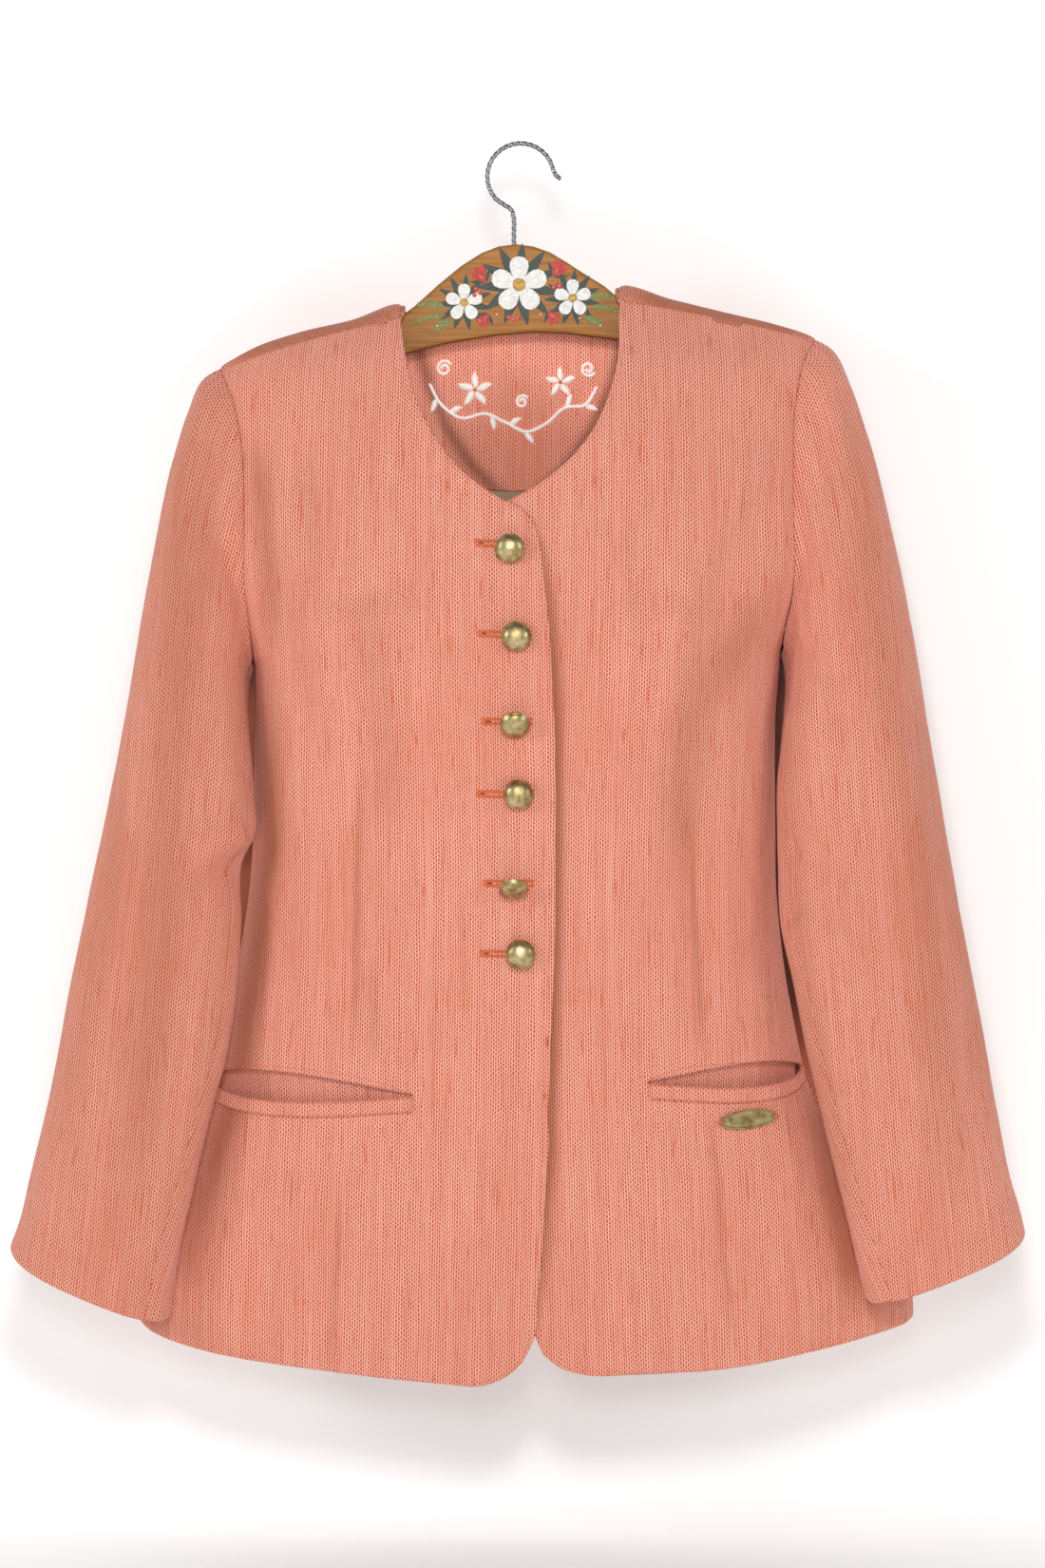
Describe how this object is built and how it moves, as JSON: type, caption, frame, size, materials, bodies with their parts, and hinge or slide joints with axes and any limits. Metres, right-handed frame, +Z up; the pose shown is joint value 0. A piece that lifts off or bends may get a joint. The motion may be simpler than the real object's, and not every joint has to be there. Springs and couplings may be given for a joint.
{
  "type": "collarless blazer on a wooden hanger",
  "caption": "Collarless button-front blazer in a coarse basket weave with welt pockets and two-piece sleeves, hanging on a flat wooden hanger with a wire hook.",
  "frame": {"origin": "inside top of the hanger's hook, where the rail carries it", "axes": "+Z up, the garment's front faces -Y, +X is the wearer's left"},
  "size_m": [0.6734, 0.1453, 0.8321],
  "materials": {
    "basket_weave": "matte coarse basket weave in coral orange and pinkish cream",
    "lining_satin": "soft satin in tan",
    "antique_brass": "antique satin",
    "painted_wood": "satin varnish with painted flowers",
    "chrome_wire": "polished twisted wire"
  },
  "bodies": {
    "root": {"front_right": "basket_weave", "sleeve_right_upper": "basket_weave", "sleeve_right_under": "basket_weave", "pocket_welt_right": "basket_weave", "pocket_bag_right": "basket_weave", "front_left": "basket_weave", "sleeve_left_upper": "basket_weave", "sleeve_left_under": "basket_weave", "pocket_welt_left": "basket_weave", "pocket_bag_left": "basket_weave", "back": "basket_weave", "back_neck_facing": "basket_weave", "back_lining": "lining_satin", "button_1": "antique_brass", "button_2": "antique_brass", "button_3": "antique_brass", "button_4": "antique_brass", "button_5": "antique_brass", "button_6": "antique_brass", "oval_plate": "antique_brass", "hanger_board": "painted_wood", "hanger_hook": "chrome_wire"}
  },
  "joints": []
}
